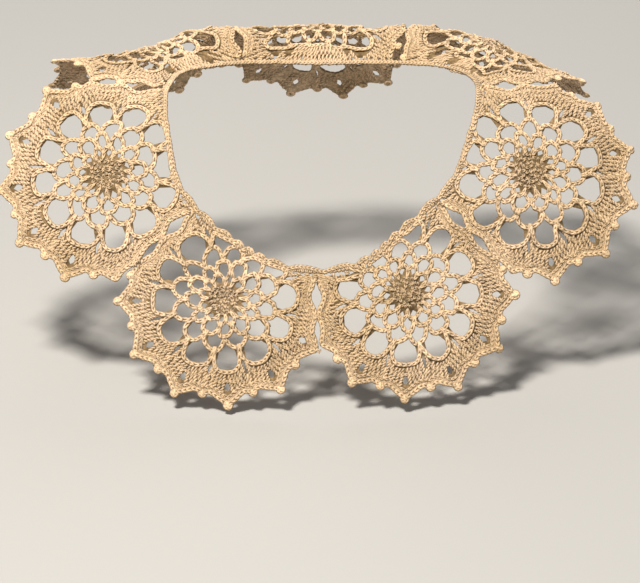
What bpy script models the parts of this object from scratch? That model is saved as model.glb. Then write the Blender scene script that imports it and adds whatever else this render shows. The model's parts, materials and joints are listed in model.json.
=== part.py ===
# Crochet lace collar: seven round motifs joined edge to edge and a neck edging.
# It keeps the hollow form it has when worn, lying round a neck opening and over the shoulders.
# Metres, +Z up, front towards -Y. The origin is the middle of the neck opening at its highest point.

import math

import bpy
import numpy as np
from mathutils import Vector, geometry

MM = 0.001

# Driving sizes, in mm
WALL = 2.4
SEAM_GAP = 0.5
NECK_GAP = 0.8
EDGING_WIDTH = 5.0
EDGING_WALL = 3.0
EDGING_SEGMENTS = 96
PETALS = 12
RIM = 2.0
OUTLINE_TOLERANCE = 0.2
LEAST_GAP = 3.4
TIP_RADIUS = 65.0
VALLEY_RADIUS = 57.0
PICOT_RADIUS = 59.4
LENS_DEPTH = 2.3
PETAL_ANGLE = 360.0 / PETALS

# Sections of the figure under the collar, round the neck from its left to its back centre.
# turn: degrees round the neck. radius and height: the neck edge, in mm.
# lean_in and lean_out: degrees down from level at the neck edge and far out.
# roll_from and roll_to: mm out from the neck edge between which the lean changes.
SECTION_COLUMNS = ("turn", "radius", "height", "lean_in", "lean_out", "roll_from", "roll_to")
SECTIONS = (
    (-170, 67.0, -9.6, -35, 68, 15, 51),
    (-153, 70.8, -8.0, -34, 67, 15.5, 50),
    (-138, 77.3, -6.2, -29, 65, 16, 59),
    (-125, 81.8, -3.8, -15, 58, 21, 58),
    (-113, 87.0, -0.8, -9.5, 40, 24, 64),
    (-99, 89.3, 0.0, -7, 14, 25, 106),
    (-87, 90.1, -3.5, 12, 27, 10, 90),
    (-76, 90.6, -15.5, 26, 40, 0, 80),
    (-68, 90.2, -36.0, 38, 46, 0, 80),
    (-55, 82.7, -55.0, 48, 53, 0, 70),
    (-42, 75.0, -67.3, 54, 59, 0, 60),
    (-27, 69.8, -76.5, 58, 62, 0, 60),
    (0, 66.0, -82.0, 60, 64, 0, 60),
    (27, 69.2, -75.5, 58, 62, 0, 60),
    (42, 71.0, -63.5, 54, 59, 0, 60),
    (55, 78.0, -51.5, 48, 53, 0, 70),
    (68, 88.5, -33.0, 38, 46, 0, 80),
    (76, 91.5, -15.5, 26, 40, 0, 80),
    (87, 94.0, -3.5, 12, 30, 10, 90),
    (99, 95.3, -0.3, 0, 29, 17, 99),
    (113, 93.9, -2.2, -2.5, 47, 17.5, 84),
    (125, 87.4, -4.2, -17, 42, 14.5, 65),
    (138, 78.2, -6.4, -24, 54, 14, 72),
    (153, 71.2, -8.2, -32, 67, 17, 51),
    (170, 66.6, -9.5, -36.5, 69, 14, 51),
    (180, 66.0, -9.9, -37, 69, 15, 52),
)

# Motifs round the ring. turn and out place the centre on the figure, spin turns the petals
# and size stretches them, as the side ones are over the shoulders.
MOTIF_COLUMNS = ("name", "turn", "out", "spin", "size")
MOTIFS = (
    ("motif_front_right", 37.2, 34.5, 10.0, 1.0),
    ("motif_side_right", 76.5, 44.5, -11.0, 1.05),
    ("motif_shoulder_right", 123.5, 44.0, -8.0, 1.0),
    ("motif_back_centre", 180.0, 40.0, 15.0, 1.0),
    ("motif_shoulder_left", -123.5, 44.0, 8.0, 1.0),
    ("motif_side_left", -76.4, 46.0, 2.0, 1.05),
    ("motif_front_left", -37.2, 34.5, -10.0, 1.0),
)

# Open meshes of one petal. Each corner is (mm from the centre, degrees off the petal's axis).
SMALL_MESH = ((13.8, 0), (17.6, 8.5), (20.2, 6.5), (21.6, 0))
MIDDLE_MESH = ((19.8, 0), (24.4, 10.0), (27.6, 7.0), (29.4, 0))
LARGE_MESH = ((27.2, 0), (31.8, 9.0), (37.0, 10.8), (40.8, 7.0), (42.0, 0))
EYELET = ((50.2, 0), (52.4, 2.4), (54.6, 0))

# Outline of half a petal, from its pointed tip to the valley picot, as (mm, degrees off the axis).
PETAL_EDGE = ((TIP_RADIUS, 0), (63.0, 2.0), (VALLEY_RADIUS, 10.5), (PICOT_RADIUS, 15.0))

COTTON = (0.66, 0.53, 0.34, 1.0)

# Resolution of the figure's table, in degrees and mm
TURN_STEP = 1.0
OUT_STEP = 1.0
OUT_FROM = -40.0
OUT_TO = 170.0
WALK_STEPS = 28


def clear_scene():
    for obj in list(bpy.data.objects):
        bpy.data.objects.remove(obj)


def smoothstep(share):
    share = np.clip(share, 0.0, 1.0)
    return share * share * (3 - 2 * share)


def sections_at(turns):
    # A smooth closed curve through the sections, at each turn in degrees.
    rows = np.array(SECTIONS, float)
    before, after = rows[-2:].copy(), rows[:2].copy()
    before[:, 0] -= 360
    after[:, 0] += 360
    rows = np.concatenate([before, rows, after])
    knots, values = rows[:, 0], rows[:, 1:]
    gaps = np.diff(knots)[:, None]
    rises = np.diff(values, axis=0) / gaps
    slopes = (rises[1:] * gaps[:-1] + rises[:-1] * gaps[1:]) / (gaps[1:] + gaps[:-1])
    index = np.clip(np.searchsorted(knots, turns, side="right") - 1, 1, len(knots) - 3)
    gap = gaps[index]
    share = ((turns - knots[index]) / gap[:, 0])[:, None]
    start, end = values[index], values[index + 1]
    leave, arrive = slopes[index - 1] * gap, slopes[index] * gap
    return (
        start
        + share * leave
        + share**2 * (3 * (end - start) - 2 * leave - arrive)
        + share**3 * (2 * (start - end) + leave + arrive)
    )


def figure_table():
    # Points of the figure on a regular table of turn and distance out from the neck edge.
    turns = np.arange(-180.0, 180.0 + TURN_STEP / 2, TURN_STEP)
    outs = np.arange(OUT_FROM, OUT_TO + OUT_STEP / 2, OUT_STEP)
    radius, height, lean_in, lean_out, roll_from, roll_to = (
        column[:, None] for column in sections_at(turns).T
    )
    lean = lean_in + (lean_out - lean_in) * smoothstep((outs - roll_from) / (roll_to - roll_from))
    lean = np.radians(lean)

    def summed(rate):
        total = np.cumsum((rate[:, 1:] + rate[:, :-1]) / 2 * OUT_STEP, axis=1)
        total = np.concatenate([np.zeros((len(turns), 1)), total], axis=1)
        return total - total[:, [int(round(-OUT_FROM / OUT_STEP))]]

    reach = radius + summed(np.cos(lean))
    rise = height - summed(np.sin(lean))
    round_neck = np.radians(turns)[:, None]
    return np.stack([reach * np.sin(round_neck), -reach * np.cos(round_neck), rise], axis=-1)


FIGURE = figure_table()


def on_figure(turn, out):
    # The figure's point at each turn, in degrees, and distance out, in mm.
    column = np.mod(turn + 180.0, 360.0) / TURN_STEP
    row = np.clip((out - OUT_FROM) / OUT_STEP, 0, FIGURE.shape[1] - 1.001)
    c, r = np.floor(column).astype(int), np.floor(row).astype(int)
    c = np.minimum(c, FIGURE.shape[0] - 2)
    u, v = (column - c)[:, None], (row - r)[:, None]
    near = FIGURE[c, r] * (1 - u) + FIGURE[c + 1, r] * u
    far = FIGURE[c, r + 1] * (1 - u) + FIGURE[c + 1, r + 1] * u
    return near * (1 - v) + far * v


def directions(turn, out):
    # How the point moves for a degree of turn and for a mm outwards.
    along = (on_figure(turn + TURN_STEP, out) - on_figure(turn - TURN_STEP, out)) / (2 * TURN_STEP)
    outward = (on_figure(turn, out + OUT_STEP) - on_figure(turn, out - OUT_STEP)) / (2 * OUT_STEP)
    return along, outward


def unit(vectors):
    return vectors / np.linalg.norm(vectors, axis=-1, keepdims=True)


def walk(turn, out, angle, distance, steps=WALK_STEPS):
    # Walks straight over the figure from one place: angle is from outwards towards larger turn.
    # Gives the out and the point after each step, for each angle in degrees and distance in mm.
    count = len(angle)
    turn, out = np.full(count, float(turn)), np.full(count, float(out))
    along, outward = directions(turn, out)
    ahead = unit(outward)
    across = unit(along - ahead * (along * ahead).sum(1, keepdims=True))
    radians = np.radians(angle)[:, None]
    heading = np.cos(radians) * ahead + np.sin(radians) * across
    step = distance / steps
    outs, points = [], []
    for _ in range(steps):
        aa, oo = (along * along).sum(1), (outward * outward).sum(1)
        ao = (along * outward).sum(1)
        ha, ho = (heading * along).sum(1), (heading * outward).sum(1)
        area = aa * oo - ao * ao
        turn = turn + step * (ha * oo - ho * ao) / area
        out = out + step * (ho * aa - ha * ao) / area
        along, outward = directions(turn, out)
        normal = unit(np.cross(along, outward))
        heading = unit(heading - normal * (heading * normal).sum(1, keepdims=True))
        outs.append(out)
        points.append(on_figure(turn, out))
    return outs, points


def centre_of(motif):
    return on_figure(np.array([motif[1]]), np.array([motif[2]]))[0]


def reach_limits(index):
    # How far each degree of direction may go before the neck edging or a neighbour's seam,
    # and whether it is a seam that stops it.
    _, turn, out, _, size = MOTIFS[index]
    centre = centre_of(MOTIFS[index])
    seams = []
    for other in (MOTIFS[index - 1], MOTIFS[(index + 1) % len(MOTIFS)]):
        across = centre_of(other) - centre
        seams.append((centre + across / 2, unit(across)))
    angles = np.arange(360.0)
    steps = int(TIP_RADIUS)
    outs, points = walk(turn, out, angles, np.full(360, size * steps), steps)
    limits, at_seam, open_yet = np.full(360, TIP_RADIUS), np.zeros(360, bool), np.ones(360, bool)
    for step in range(steps):
        neck_room = outs[step] - (EDGING_WIDTH + NECK_GAP)
        seam_room = np.minimum(
            *((middle - points[step]) @ across - SEAM_GAP / 2 for middle, across in seams)
        )
        room = np.minimum(neck_room, seam_room)
        crossed = open_yet & (room < 0)
        limits[crossed] = step + 1 + room[crossed] / size
        at_seam[crossed] = seam_room[crossed] < neck_room[crossed]
        open_yet &= ~crossed
    return limits, at_seam


def inset(edge, margin):
    # The reach at each degree that keeps a margin from an edge given at each degree.
    angles = np.radians(np.arange(360.0))
    between = angles[:, None] - angles[None, :]
    aside = np.abs(edge * np.sin(between))
    near = (aside < margin) & (np.cos(between) > 0)
    reach = edge * np.cos(between) - np.sqrt(np.maximum(margin**2 - aside**2, 0))
    return np.where(near, reach, 1e3).min(axis=1)


def at_angle(table, angle):
    angle = angle % 360.0
    low = int(angle) % 360
    return table[low] + (table[(low + 1) % 360] - table[low]) * (angle - int(angle))


def both_sides(half):
    # A closed outline from corners given on one side of the petal's axis.
    return list(half) + [(r, -a) for r, a in reversed(half) if a > 0]


def motif_edge(limits, at_seam, spin):
    # The motif's reach at each degree: pointed petals with valley picots, cut at the neck,
    # and at seams scalloped so that they touch at the tips with slender gaps between.
    angles = np.arange(360.0)
    off = np.mod(angles - spin, PETAL_ANGLE)
    off = np.minimum(off, PETAL_ANGLE - off)
    radii, corners = zip(*((r, a) for r, a in PETAL_EDGE))
    petals = np.interp(off, corners, radii)
    scallops = LENS_DEPTH * (1 - np.cos(np.radians(off * PETALS))) / 2
    return np.minimum(petals, limits - np.where(at_seam, scallops, 0))


def mesh_holes(edge, spin):
    # The open meshes of a motif, each a list of corners running anticlockwise.
    reach = inset(edge, RIM)
    holes = []
    rings = ((SMALL_MESH, 0.0), (MIDDLE_MESH, 0.5), (LARGE_MESH, 0.0), (EYELET, 0.0))
    for corners, stagger in rings:
        height = corners[-1][0] - corners[0][0]
        for petal in range(PETALS):
            axis = spin + (petal + stagger) * PETAL_ANGLE
            hole = [(min(r, at_angle(reach, axis + a)), axis + a) for r, a in both_sides(corners)]
            inner, outer = min(r for r, _ in hole), max(r for r, _ in hole)
            if inner >= corners[0][0] and outer - inner >= min(LEAST_GAP, height - 0.1):
                ring = flat(hole)
                holes.append([ring[i] for i in geometry.convex_hull_2d(ring)])
    return holes


def outline(edge):
    # The edge as corners at few angles: a degree is left out where the line hardly bends.
    corners = [(edge[a], float(a)) for a in range(360)]
    kept = [0]
    for a in range(2, 361):
        start, end = flat([corners[kept[-1]]])[0], flat([corners[a % 360]])[0]
        passed = flat(corners[kept[-1] + 1 : a])
        across = (end - start).normalized()
        if max(abs(across.cross(p - start)) for p in passed) > OUTLINE_TOLERANCE:
            kept.append(a - 1)
    return [corners[a] for a in kept]


def flat(corners):
    return [
        Vector((r * math.sin(math.radians(a)), r * math.cos(math.radians(a)))) for r, a in corners
    ]


def fill_points():
    # Loose points that keep the triangles of the closed centre small.
    return [(0.0, 0.0)] + [(8.5, 360.0 * i / 6) for i in range(6)]


def triangulated(edge, holes):
    # Both the edge and the holes run anticlockwise here. Only triangles in no hole are kept.
    points, faces = [], []
    for ring in [flat(edge[::-1])] + holes:
        faces.append(list(range(len(points), len(points) + len(ring))))
        points += ring
    points += flat(fill_points())
    found = geometry.delaunay_2d_cdt(points, [], faces, 1, 1e-4)
    kept = [face for face, origin in zip(found[2], found[5]) if origin == [0]]
    return found[0], kept


def lace_wall(name, points, faces, thickness, material):
    # An open lace surface on the figure, given its wall outwards.
    mesh = bpy.data.meshes.new(name)
    mesh.from_pydata([Vector(p) * MM for p in points], [], faces)
    mesh.materials.append(material)
    obj = bpy.data.objects.new(name, mesh)
    wall = obj.modifiers.new("wall", "SOLIDIFY")
    wall.thickness = thickness * MM
    wall.offset = 1.0
    return obj


def make_motif(index, material):
    name, turn, out, spin, size = MOTIFS[index]
    edge = motif_edge(*reach_limits(index), spin)
    verts, faces = triangulated(outline(edge), mesh_holes(edge, spin))
    flat_xy = np.array([tuple(v) for v in verts])
    distance = size * np.hypot(flat_xy[:, 0], flat_xy[:, 1])
    angle = np.degrees(np.arctan2(flat_xy[:, 0], flat_xy[:, 1]))
    _, points = walk(turn, out, angle, distance)
    return lace_wall(name, points[-1], [f[::-1] for f in faces], WALL, material)


def make_edging(name, first_turn, last_turn, material):
    # A strip along the neck edge between two turns.
    count = EDGING_SEGMENTS // 2
    turns = np.linspace(first_turn, last_turn, count + 1)
    inner = on_figure(turns, np.zeros(count + 1))
    outer = on_figure(turns, np.full(count + 1, EDGING_WIDTH))
    points = np.concatenate([inner, outer])
    faces = [(i, i + count + 1, i + count + 2, i + 1) for i in range(count)]
    return lace_wall(name, points, faces, EDGING_WALL, material)


def cotton_material():
    material = bpy.data.materials.new("ecru_cotton")
    material.use_nodes = True
    shader = material.node_tree.nodes["Principled BSDF"]
    shader.inputs["Base Color"].default_value = COTTON
    shader.inputs["Roughness"].default_value = 0.85
    shader.inputs["Metallic"].default_value = 0.0
    return material


def main():
    clear_scene()
    collar = bpy.data.collections.new("crochet_collar")
    bpy.context.scene.collection.children.link(collar)
    cotton = cotton_material()
    seam_turn = math.degrees(SEAM_GAP / 2 / 90.0)
    pieces = [make_motif(index, cotton) for index in range(len(MOTIFS))]
    pieces.append(make_edging("neck_edging_front", -90 + seam_turn, 90 - seam_turn, cotton))
    pieces.append(make_edging("neck_edging_back", 90 + seam_turn, 270 - seam_turn, cotton))
    for piece in pieces:
        collar.objects.link(piece)


if __name__ == "__main__":
    main()
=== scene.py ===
import json
import math

import bpy
import numpy as np
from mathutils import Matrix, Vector, geometry

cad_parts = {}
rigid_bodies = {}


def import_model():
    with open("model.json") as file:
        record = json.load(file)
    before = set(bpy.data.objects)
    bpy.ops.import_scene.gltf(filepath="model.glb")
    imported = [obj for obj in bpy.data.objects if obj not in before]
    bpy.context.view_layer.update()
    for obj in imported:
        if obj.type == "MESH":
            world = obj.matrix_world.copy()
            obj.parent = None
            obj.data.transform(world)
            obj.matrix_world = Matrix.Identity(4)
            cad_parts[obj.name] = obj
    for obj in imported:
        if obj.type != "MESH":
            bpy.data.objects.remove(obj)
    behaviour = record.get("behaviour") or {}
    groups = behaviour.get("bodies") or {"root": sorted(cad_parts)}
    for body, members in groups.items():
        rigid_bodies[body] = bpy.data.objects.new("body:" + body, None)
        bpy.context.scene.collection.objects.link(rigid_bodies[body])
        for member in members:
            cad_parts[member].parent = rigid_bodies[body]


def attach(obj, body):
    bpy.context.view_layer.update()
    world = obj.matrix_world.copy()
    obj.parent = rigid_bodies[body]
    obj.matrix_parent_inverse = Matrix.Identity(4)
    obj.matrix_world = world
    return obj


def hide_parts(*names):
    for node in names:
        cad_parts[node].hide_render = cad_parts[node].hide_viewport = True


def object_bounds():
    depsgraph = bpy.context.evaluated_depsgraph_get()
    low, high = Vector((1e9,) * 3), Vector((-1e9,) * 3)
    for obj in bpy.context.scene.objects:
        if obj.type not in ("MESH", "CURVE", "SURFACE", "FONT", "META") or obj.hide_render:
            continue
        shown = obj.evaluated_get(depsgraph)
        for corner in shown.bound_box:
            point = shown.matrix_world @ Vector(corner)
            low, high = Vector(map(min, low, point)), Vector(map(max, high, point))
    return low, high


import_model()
cadLow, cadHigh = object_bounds()
mm = 0.001

# The form that the collar lies on, section by section round the neck (degrees, mm):
# turn, neck radius, neck height, lean at the neck, lean far out, where the roll begins and ends
figureSections = (
    (-170, 67.0, -9.6, -35, 68, 15, 51),
    (-153, 70.8, -8.0, -34, 67, 15.5, 50),
    (-138, 77.3, -6.2, -29, 65, 16, 59),
    (-125, 81.8, -3.8, -15, 58, 21, 58),
    (-113, 87.0, -0.8, -9.5, 40, 24, 64),
    (-99, 89.3, 0.0, -7, 14, 25, 106),
    (-87, 90.1, -3.5, 12, 27, 10, 90),
    (-76, 90.6, -15.5, 26, 40, 0, 80),
    (-68, 90.2, -36.0, 38, 46, 0, 80),
    (-55, 82.7, -55.0, 48, 53, 0, 70),
    (-42, 75.0, -67.3, 54, 59, 0, 60),
    (-27, 69.8, -76.5, 58, 62, 0, 60),
    (0, 66.0, -82.0, 60, 64, 0, 60),
    (27, 69.2, -75.5, 58, 62, 0, 60),
    (42, 71.0, -63.5, 54, 59, 0, 60),
    (55, 78.0, -51.5, 48, 53, 0, 70),
    (68, 88.5, -33.0, 38, 46, 0, 80),
    (76, 91.5, -15.5, 26, 40, 0, 80),
    (87, 94.0, -3.5, 12, 30, 10, 90),
    (99, 95.3, -0.3, 0, 29, 17, 99),
    (113, 93.9, -2.2, -2.5, 47, 17.5, 84),
    (125, 87.4, -4.2, -17, 42, 14.5, 65),
    (138, 78.2, -6.4, -24, 54, 14, 72),
    (153, 71.2, -8.2, -32, 67, 17, 51),
    (170, 66.6, -9.5, -36.5, 69, 14, 51),
    (180, 66.0, -9.9, -37, 69, 15, 52),
)
outFrom, outTo = -40, 170  # mm from the neck edge

# The ring of motifs: where each centre lies on that form, how its petals are turned, its stretch,
# and how deep a row of fans lies along the neck
motifColumns = ("side", "turn", "out", "spin", "size", "neckFans")
motifRows = (
    ("front_right", 37.2, 34.5, 10.0, 1.0, 0.0),
    ("side_right", 76.5, 44.5, -11.0, 1.05, 0.0),
    ("shoulder_right", 123.5, 44.0, -8.0, 1.0, 11.0),
    ("back_centre", 180.0, 40.0, 15.0, 1.0, 11.0),
    ("shoulder_left", -123.5, 44.0, 8.0, 1.0, 11.0),
    ("side_left", -76.4, 46.0, 2.0, 1.05, 0.0),
    ("front_left", -37.2, 34.5, -10.0, 1.0, 0.0),
)
motifs = [dict(zip(motifColumns, row)) for row in motifRows]
motifSizes = {
    "petals": 12,
    "tipRadius": 65.0,
    "petalEdge": ((65.0, 0), (63.0, 2.0), (57.0, 10.5), (59.4, 15.0)),  # mm, degrees off the axis
    "seamGap": 0.5,
    "neckGap": 0.6,
    "edgingWidth": 5.0,
    "lensFrom": 7.0,  # mm from the neck edge to the first join
    "lensLength": 22.0,
    "lensDepth": (3.4, 2.3, 1.6),
    "joinFrom": 5.0,
    "joinShare": 0.09,  # of a lens, to each side of a join
}
petalAngle = 360.0 / motifSizes["petals"]


def smoothStep(share):
    share = np.clip(share, 0.0, 1.0)
    return share * share * (3 - 2 * share)


def sectionsAt(turns):
    rows = np.array(figureSections, float)
    before, after = rows[-2:].copy(), rows[:2].copy()
    before[:, 0] -= 360
    after[:, 0] += 360
    rows = np.concatenate([before, rows, after])
    knots, values = rows[:, 0], rows[:, 1:]
    gaps = np.diff(knots)[:, None]
    rises = np.diff(values, axis=0) / gaps
    slopes = (rises[1:] * gaps[:-1] + rises[:-1] * gaps[1:]) / (gaps[1:] + gaps[:-1])
    index = np.clip(np.searchsorted(knots, turns, side="right") - 1, 1, len(knots) - 3)
    gap = gaps[index]
    share = ((turns - knots[index]) / gap[:, 0])[:, None]
    start, end = values[index], values[index + 1]
    leave, arrive = slopes[index - 1] * gap, slopes[index] * gap
    return (start + share * leave + share**2 * (3 * (end - start) - 2 * leave - arrive)
            + share**3 * (2 * (start - end) + leave + arrive))


def makeFigure():
    turns = np.arange(-180.0, 180.5)
    outs = np.arange(outFrom, outTo + 0.5)
    radius, height, leanIn, leanOut, rollFrom, rollTo = (c[:, None] for c in sectionsAt(turns).T)
    roll = smoothStep((outs - rollFrom) / (rollTo - rollFrom))
    lean = np.radians(leanIn + (leanOut - leanIn) * roll)

    def summed(rate):
        total = np.cumsum((rate[:, 1:] + rate[:, :-1]) / 2, axis=1)
        total = np.concatenate([np.zeros((len(turns), 1)), total], axis=1)
        return total - total[:, [-outFrom]]

    reach = radius + summed(np.cos(lean))
    rise = height - summed(np.sin(lean))
    way = np.radians(turns)[:, None]
    return np.stack([reach * np.sin(way), -reach * np.cos(way), rise], axis=-1)


figure = makeFigure()


def onFigure(turn, out):
    column = np.mod(turn + 180.0, 360.0)
    row = np.clip(out - outFrom, 0, figure.shape[1] - 1.001)
    c = np.minimum(np.floor(column).astype(int), figure.shape[0] - 2)
    r = np.floor(row).astype(int)
    u, v = (column - c)[:, None], (row - r)[:, None]
    near = figure[c, r] * (1 - u) + figure[c + 1, r] * u
    far = figure[c, r + 1] * (1 - u) + figure[c + 1, r + 1] * u
    return near * (1 - v) + far * v


def directions(turn, out):
    along = (onFigure(turn + 1, out) - onFigure(turn - 1, out)) / 2
    outward = (onFigure(turn, out + 1) - onFigure(turn, out - 1)) / 2
    return along, outward


def unit(vectors):
    return vectors / np.linalg.norm(vectors, axis=-1, keepdims=True)


def walk(motif, angle, distance, steps=28):
    # straight over the form from a motif's centre: out, point and outward normal after each step
    turn = np.full(len(angle), float(motif["turn"]))
    out = np.full(len(angle), float(motif["out"]))
    along, outward = directions(turn, out)
    ahead = unit(outward)
    across = unit(along - ahead * (along * ahead).sum(1, keepdims=True))
    angle = np.radians(angle)[:, None]
    heading = np.cos(angle) * ahead + np.sin(angle) * across
    step = distance / steps
    outs, points, normals = [], [], []
    for _ in range(steps):
        aa, oo = (along * along).sum(1), (outward * outward).sum(1)
        ao = (along * outward).sum(1)
        ha, ho = (heading * along).sum(1), (heading * outward).sum(1)
        area = aa * oo - ao * ao
        turn = turn + step * (ha * oo - ho * ao) / area
        out = out + step * (ho * aa - ha * ao) / area
        along, outward = directions(turn, out)
        normal = unit(np.cross(outward, along))
        heading = unit(heading - normal * (heading * normal).sum(1, keepdims=True))
        outs.append(out)
        points.append(onFigure(turn, out))
        normals.append(normal)
    return outs, points, normals


handWaves = {
    "drift": 0.55,
    "rise": 0.45,
    "lengths": (38.0, 24.0, 15.0),
    "stillFrom": 52.0,  # the edge keeps its place
    "stillOver": 14.0,
}


def uneven(motif, flat):
    # slow waves that push the stitches about in the plane, and in and out of it
    hand = handWaves
    chance = np.random.default_rng(int(abs(motif["turn"]) * 10) + (motif["turn"] < 0))
    moved, rise = flat.copy(), np.zeros(len(flat))
    calm = np.clip((hand["stillFrom"] - np.hypot(flat[:, 0], flat[:, 1])) / hand["stillOver"], 0, 1)
    for length in hand["lengths"]:
        for axis in range(3):
            way = chance.uniform(0, 2 * math.pi)
            phase = chance.uniform(0, 2 * math.pi)
            swing = np.sin((flat @ [math.cos(way), math.sin(way)]) * 2 * math.pi / length + phase)
            if axis < 2:
                moved[:, axis] += hand["drift"] * calm * swing
            else:
                rise += hand["rise"] * swing
    return moved, rise


def layFlat(motif, flatPoints):
    # points of the motif's plane (across, outwards, in mm) laid on the form by an uneven hand
    flatPoints, rise = uneven(motif, np.asarray(flatPoints, float))
    distance = motif["size"] * np.hypot(flatPoints[:, 0], flatPoints[:, 1])
    angle = np.degrees(np.arctan2(flatPoints[:, 0], flatPoints[:, 1]))
    _, points, normals = walk(motif, angle, distance)
    return points[-1] + normals[-1] * rise[:, None], normals[-1]


def motifCentre(motif):
    return onFigure(np.array([motif["turn"]]), np.array([motif["out"]]))[0]


def motifEdge(index):
    # the motif's reach at each degree, which degrees stop at a seam or the neck, and the joins
    motif, sizes = motifs[index], motifSizes
    centre = motifCentre(motif)
    seams = []
    for other in (motifs[index - 1], motifs[(index + 1) % len(motifs)]):
        across = motifCentre(other) - centre
        seams.append((centre + across / 2, unit(across)))
    angles = np.arange(360.0)
    steps = int(sizes["tipRadius"])
    outs, points, _ = walk(motif, angles, np.full(360, motif["size"] * steps), steps)
    limits, outAt = np.full(360, sizes["tipRadius"]), np.zeros(360)
    atSeam, atNeck, openYet = np.zeros(360, bool), np.zeros(360, bool), np.ones(360, bool)
    for step in range(steps):
        neckRoom = outs[step] - (sizes["edgingWidth"] + sizes["neckGap"])
        seamRoom = np.minimum(*((middle - points[step]) @ across - sizes["seamGap"] / 2
                                for middle, across in seams))
        room = np.minimum(neckRoom, seamRoom)
        crossed = openYet & (room < 0)
        limits[crossed] = step + 1 + room[crossed] / motif["size"]
        outAt[crossed] = outs[step][crossed]
        atSeam[crossed] = seamRoom[crossed] < neckRoom[crossed]
        atNeck[crossed] = seamRoom[crossed] >= neckRoom[crossed]
        openYet &= ~crossed
    off = np.mod(angles - motif["spin"], petalAngle)
    radii, corners = zip(*sizes["petalEdge"])
    petals = np.interp(np.minimum(off, petalAngle - off), corners, radii)
    lens = np.maximum(outAt - sizes["lensFrom"], 0) / sizes["lensLength"]
    depths = np.array(sizes["lensDepth"])
    depth = depths[np.minimum(lens.astype(int), len(depths) - 1)]
    edge = np.minimum(petals, limits - np.where(atSeam, depth * np.sin(lens * math.pi) ** 2, 0))
    cut = limits < petals
    nearJoin = np.abs(lens - np.round(lens)) < sizes["joinShare"]
    joins = atSeam & cut & nearJoin & (outAt > sizes["joinFrom"])
    return edge, atSeam & cut, atNeck & cut, joins


def inset(edge, margin):
    # the reach at each degree that keeps a margin inside an edge
    angles = np.radians(np.arange(360.0))
    between = angles[:, None] - angles[None, :]
    aside = np.abs(edge * np.sin(between))
    near = (aside < margin) & (np.cos(between) > 0)
    reach = edge * np.cos(between) - np.sqrt(np.maximum(margin**2 - aside**2, 0))
    return np.where(near, reach, 1e3).min(axis=1)


def atAngle(table, angle):
    return np.interp(np.mod(angle, 360.0), np.arange(361.0), np.append(table, table[0]))


def polar(radius, angle):
    angle = np.radians(angle)
    return np.stack([radius * np.sin(angle), radius * np.cos(angle)], axis=-1)


def lengthAlong(line):
    return np.append(0, np.cumsum(np.linalg.norm(np.diff(line, axis=0), axis=1)))


def resample(line, spacing):
    # the same line with points equally far apart, about a stitch's spacing
    length = lengthAlong(line)
    count = max(1, int(round(length[-1] / spacing)))
    at = np.linspace(0, length[-1], count + 1)
    return np.stack([np.interp(at, length, line[:, i]) for i in range(line.shape[1])], axis=-1)


def curveThrough(points, steps=10):
    # a smooth line through a few points
    p = np.array(points, float)
    p = np.concatenate([[2 * p[0] - p[1]], p, [2 * p[-1] - p[-2]]])
    t = np.linspace(0, 1, steps, endpoint=False)[:, None]
    runs = []
    for a, b, c, d in zip(p[:-3], p[1:-2], p[2:-1], p[3:]):
        runs.append(0.5 * (2 * b + (c - a) * t + (2 * a - 5 * b + 4 * c - d) * t**2
                           + (3 * b - a - 3 * c + d) * t**3))
    return np.concatenate(runs + [p[-2:-1]])


print("figure and motif plan ready")


def feed(tree, node, values):
    # a node's inputs, from other nodes' sockets or as plain values
    for name, value in values.items():
        if isinstance(value, bpy.types.NodeSocket):
            tree.links.new(value, node.inputs[name])
        else:
            node.inputs[name].default_value = value


def addObject(name, data):
    made = bpy.data.objects.new(name, data)
    bpy.context.scene.collection.objects.link(made)
    return made


def newMesh(name, points, faces=()):
    # a smooth mesh from points in mm
    mesh = bpy.data.meshes.new(name)
    mesh.from_pydata([tuple(p) for p in points * mm], [], faces)
    mesh.polygons.foreach_set("use_smooth", [True] * len(mesh.polygons))
    return mesh


def addNode(tree, kind, values=None, **settings):
    node = tree.nodes.new(kind)
    for name, value in settings.items():
        setattr(node, name, value)
    feed(tree, node, values or {})
    return node


def addMath(tree, operation, *values):
    node = addNode(tree, "ShaderNodeMath", dict(enumerate(values)), operation=operation)
    return node.outputs[0]


def addMix(tree, share, first, second, blend="MIX"):
    node = addNode(tree, "ShaderNodeMix", {0: share, 6: first, 7: second},
                   data_type="RGBA", blend_type=blend)
    return node.outputs[2]


def addSockets(tree, side, **kinds):
    # a group's named inputs or outputs of each kind, with their usual values
    for kind, named in kinds.items():
        for name, value in named.items():
            made = tree.interface.new_socket(name=name, in_out=side,
                                             socket_type="NodeSocket" + kind)
            if value is not None:
                made.default_value = value


def addNoise(tree, scale, detail, roughness=0.5):
    place = addNode(tree, "ShaderNodeTexCoord").outputs["Object"]
    values = {"Vector": place, "Scale": scale, "Detail": detail, "Roughness": roughness}
    return addNode(tree, "ShaderNodeTexNoise", values).outputs[0]


def addRange(tree, value, fromMin, fromMax, toMin=0.0, toMax=1.0, clamp=True):
    values = {"Value": value, "From Min": fromMin, "From Max": fromMax,
              "To Min": toMin, "To Max": toMax}
    return addNode(tree, "ShaderNodeMapRange", values, clamp=clamp).outputs["Result"]


def addBump(tree, height, look, **settings):
    values = {"Height": height, "Strength": look["bump"], "Distance": look["bumpDistance"]}
    return addNode(tree, "ShaderNodeBump", values, **settings).outputs["Normal"]


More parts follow.
